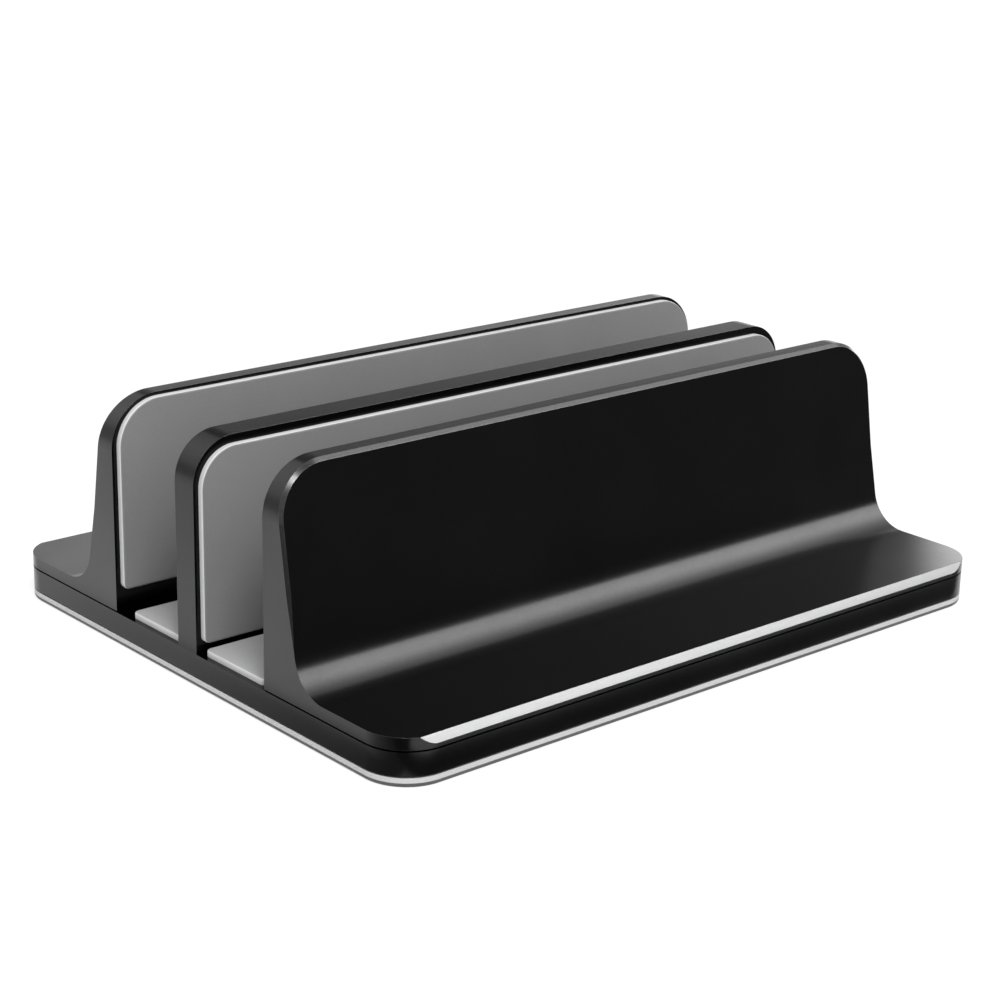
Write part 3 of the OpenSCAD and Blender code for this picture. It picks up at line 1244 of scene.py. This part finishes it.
@dataclass
class Card:
    """A studio card that only reflections see: a sheet of rows, each with its own glow."""

    name: str
    rows: Sequence[tuple[Vector, Vector, float]]
    later_glow: float = 0.25

    @classmethod
    def sheet(cls, name: str, start: Point, end: Point, shifts: Shifts) -> "Card":
        """Make a card from one line, repeated at each shift with that shift's glow.

        Args:
            name: name of the card.
            start: one end of the line.
            end: other end of the line.
            shifts: how far each row stands from the line, and how much it glows.

        Returns:
            The card, not yet built.
        """
        rows = [
            (Vector(start) + Vector(shift), Vector(end) + Vector(shift), glow)
            for shift, glow in shifts
        ]
        return cls(name, rows)

    def build(self) -> bpy.types.Object:
        """Add the card, seen only by reflections.

        Returns:
            The card's object.
        """
        deselect()
        last = len(self.rows) - 1
        bpy.ops.mesh.primitive_grid_add(x_subdivisions=1, y_subdivisions=last, size=2)
        card = bpy.context.object
        card.name = self.name
        glow = card.data.attributes.new("Glow", "FLOAT", "POINT")
        for vert in card.data.vertices:
            low, high, radiance = self.rows[round((vert.co.y + 1) / 2 * last)]
            vert.co = low if vert.co.x < 0 else high
            glow.data[vert.index].value = radiance
        card.data.update()
        card.data.materials.append(self._glowing())
        for kind in ("camera", "diffuse", "shadow", "transmission", "volume_scatter"):
            setattr(card, f"visible_{kind}", False)
        return card

    def _glowing(self) -> bpy.types.Material:
        """Build a material that glows as each row says, and less at later reflections.

        Returns:
            The material.
        """
        material = bpy.data.materials.new(self.name)
        graph = empty_graph(material)
        level = graph.add("ShaderNodeAttribute", attribute_name="Glow").outputs["Fac"]
        depth = graph.add("ShaderNodeLightPath").outputs["Ray Depth"]
        kept = graph.ramp(depth, 1.0, 2.0, 1.0, self.later_glow)
        light = graph.add("ShaderNodeEmission")
        graph.join(graph.maths("MULTIPLY", level, kept), light.inputs["Strength"])
        graph.surface(light.outputs[0])
        return material


def bands(axis: int, *pairs: tuple[float, float]) -> Shifts:
    """List a card's rows from pairs of how far each is along one axis and how much it glows."""
    return [(tuple(far if i == axis else 0.0 for i in range(3)), glow) for far, glow in pairs]


@dataclass(frozen=True)
class Cards:
    """Every card of the studio, placed by what the camera sees in the polished faces."""

    view: View
    floor_low: float = 0.5 * MM
    floor_middle: float = 0.7 * MM
    floor_high: float = 0.9 * MM
    sweep_half: float = 0.15
    sweep_y: float = -40.0 * MM
    sweep_z: float = 18.0 * MM
    sweep_reach: float = 0.95
    beside: float = -99.7 * MM
    strip: float = 10.2 * MM

    def all(self) -> list[Card]:
        """List the cards: the sweep above, then those in front, beside and behind."""
        return [self._sweep(), *self._dark(), *self._beside(), *self._behind()]

    def _sweep(self) -> Card:
        """Make the curved sweep over the stand, mirrored in the hollow fillet and the foot.

        Returns:
            The card, not yet built.
        """
        turns = (
            (28.0, 9.0),
            (36.0, 10.3),
            (43.0, 10.3),
            (50.0, 7.1),
            (56.0, 4.0),
            (63.0, 2.2),
            (70.0, 1.0),
            (78.0, 0.4),
        )
        rows = []
        for degrees, glow in turns:
            turn = math.radians(degrees)
            normal = (0.0, -math.cos(turn), math.sin(turn))
            ends = [
                self.view.mirrored((x, self.sweep_y, self.sweep_z), normal, self.sweep_reach)
                for x in (-self.sweep_half, self.sweep_half)
            ]
            rows.append((ends[0], ends[1], glow))
        return Card("Sweep", rows)

    def _dark(self) -> list[Card]:
        """Make the dark cards that the front faces mirror, and the strip that the toe mirrors.

        Returns:
            The cards, not yet built.
        """
        return [
            Card.sheet(
                "Dark card in front",
                (-0.05, -0.60, 0.0),
                (0.75, -0.33, 0.0),
                bands(2, (0.19, 0.25), (0.0, 0.25)),
            ),
            Card.sheet(
                "Dark card on the floor",
                (-0.50, 0.0, self.floor_low),
                (0.75, 0.0, self.floor_low),
                bands(1, (-0.60, 0.30), (-0.0755, 0.16)),
            ),
            Card.sheet(
                "Pale strip in front",
                (-0.095, 0.0, self.floor_high),
                (0.20, 0.0, self.floor_high),
                bands(1, (-0.0857, 2.5), (-0.0975, 2.5)),
            ),
        ]

    def _beside(self) -> list[Card]:
        """Make the cards on the floor that the left ends mirror, and the one at the right end.

        Returns:
            The cards, not yet built.
        """
        return [
            Card.sheet(
                "Pale card at the left",
                (-0.45, 0.0, self.floor_low),
                (self.beside, 0.0, self.floor_low),
                bands(
                    1,
                    (-0.075, 0.3),
                    (-0.060, 0.9),
                    (-0.045, 2.2),
                    (0.050, 2.2),
                    (0.150, 1.8),
                    (0.450, 1.8),
                ),
            ),
            Card.sheet(
                "Pale strip at the base",
                (self.beside, 0.0, self.floor_middle),
                (self.beside + self.strip, 0.0, self.floor_middle),
                bands(1, (-0.075, 0.3), (-0.055, 0.4), (-0.030, 0.7), (0.010, 1.1), (0.080, 1.3)),
            ),
            Card.sheet(
                "Pale card at the right end",
                (0.177, 0.016, 0.004),
                (0.177, 0.016, 0.072),
                (((0, 0, 0), 0.2), ((0.008, -0.007, 0), 3.6), ((0.033, -0.029, 0), 4.8)),
            ),
        ]

    def _behind(self) -> list[Card]:
        """Make the grey card that the tops mirror, and the pale one that the corners mirror.

        Returns:
            The cards, not yet built.
        """
        return [
            Card.sheet(
                "Grey card behind",
                (0.04, 0.36, 0.0),
                (0.95, 0.36, 0.0),
                bands(2, (0.090, 1.3), (0.150, 1.3), (0.158, 0.22), (0.550, 0.22)),
            ),
            Card.sheet(
                "Pale card behind at the left",
                (-0.16, -0.13, 0.0),
                (0.16, 0.13, 0.0),
                (
                    ((-0.56, 0.58, 0.190), 1.0),
                    ((-0.53, 0.57, 0.235), 1.7),
                    ((-0.41, 0.56, 0.420), 2.3),
                    ((-0.30, 0.56, 0.520), 2.3),
                    ((-0.12, 0.57, 0.600), 1.8),
                    ((0.03, 0.57, 0.620), 1.2),
                    ((0.12, 0.57, 0.600), 0.9),
                ),
            ),
        ]


@dataclass
class Studio:
    """Pale floor, white surroundings, soft lamps and the camera."""

    view: View
    floor_size: float = 6.0
    floor_rim: int = 96
    floor_lit: float = 0.78
    floor_seen: float = 0.34
    glow_near: tuple[float, float] = (0.3, 0.74)
    glow_far: tuple[float, float] = (0.9, 0.88)
    room: float = 0.45
    white: float = 1.0

    def build(self) -> None:
        """Set up everything round the stand."""
        self._floor()
        self._surroundings()
        Softbox().build()
        for card in Cards(self.view).all():
            card.build()
        bpy.context.scene.camera = self.view.camera()
        bpy.context.scene.view_settings.view_transform = "Standard"

    def _floor(self) -> None:
        """Add the floor: white to the eye and in reflections, and keeping the shadow."""
        deselect()
        bpy.ops.mesh.primitive_circle_add(
            vertices=self.floor_rim, radius=self.floor_size / 2, fill_type="NGON"
        )
        floor = bpy.context.object
        floor.name = "Floor"
        material = bpy.data.materials.new("Pale floor")
        graph = empty_graph(material)
        lit = graph.feed(graph.add("ShaderNodeBsdfDiffuse"), Color=plain(self.floor_lit))
        seen = graph.feed(graph.add("ShaderNodeBsdfDiffuse"), Color=plain(self.floor_seen))
        away = graph.add("ShaderNodeVectorMath", operation="LENGTH")
        graph.join(graph.add("ShaderNodeTexCoord").outputs["Object"], away.inputs[0])
        near, low = self.glow_near
        far, high = self.glow_far
        glow = graph.add("ShaderNodeEmission")
        graph.join(graph.ramp(away.outputs["Value"], near, far, low, high), glow.inputs["Strength"])
        both = graph.add("ShaderNodeAddShader")
        graph.join(seen.outputs[0], both.inputs[0])
        graph.join(glow.outputs[0], both.inputs[1])
        pick = graph.add("ShaderNodeMixShader")
        graph.join(self._seen_rays(graph), pick.inputs[0])
        graph.join(lit.outputs[0], pick.inputs[1])
        graph.join(both.outputs[0], pick.inputs[2])
        graph.surface(pick.outputs[0])
        floor.data.materials.append(material)

    def _seen_rays(self, graph: Graph) -> Socket:
        """Add a value that is 1 for camera, glossy and transmission rays.

        Args:
            graph: the node tree that gets the value.

        Returns:
            The value's socket.
        """
        path = graph.add("ShaderNodeLightPath").outputs
        either = graph.maths("MAXIMUM", path["Is Camera Ray"], path["Is Glossy Ray"])
        return graph.maths("MAXIMUM", either, path["Is Transmission Ray"])

    def _surroundings(self) -> None:
        """White surroundings to the eye and in reflections, at a plain level as a light."""
        world = bpy.data.worlds.new("White studio")
        bpy.context.scene.world = world
        graph = empty_graph(world)
        background = graph.add("ShaderNodeBackground")
        level = graph.ramp(self._seen_rays(graph), 0.0, 1.0, self.room, self.white)
        graph.feed(background, Color=plain(1.0), Strength=level)
        graph.surface(background.outputs[0], "ShaderNodeOutputWorld")


# The stand


def soft_parts() -> list[WallPad | FloorPad | UnderMat]:
    """List the soft parts, each with the node it stands for.

    Returns:
        The parts, not yet built.
    """
    bracket_r = 10.5 * MM
    centre_r = 8.9 * MM
    return [
        WallPad("FrontBracketPad", "front_bracket_pad", Body.FRONT, Side.REAR, bracket_r),
        WallPad("RearBracketPad", "rear_bracket_pad", Body.REAR, Side.FRONT, bracket_r),
        WallPad("CentrePadFront", "centre_pad_front", Body.BASE, Side.FRONT, centre_r),
        WallPad("CentrePadRear", "centre_pad_rear", Body.BASE, Side.REAR, centre_r),
        FloorPad("FrontFloorPad", "front_floor_pad"),
        FloorPad("RearFloorPad", "rear_floor_pad"),
        UnderMat(),
    ]


def main() -> None:
    """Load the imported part, dress it, add the soft parts and set up the studio."""
    logging.basicConfig(level=logging.INFO, format="%(name)s: %(message)s")
    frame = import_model()
    deselect()
    finishes = Finishes()
    MetalParts().dress(frame["nodes"], finishes)
    for part in soft_parts():
        piece = part.build(finishes)
        LOG.info("%s modelled with %d faces", piece.name, len(piece.data.polygons))
    Studio(View()).build()
    LOG.info("studio set up")


if __name__ == "__main__":
    main()
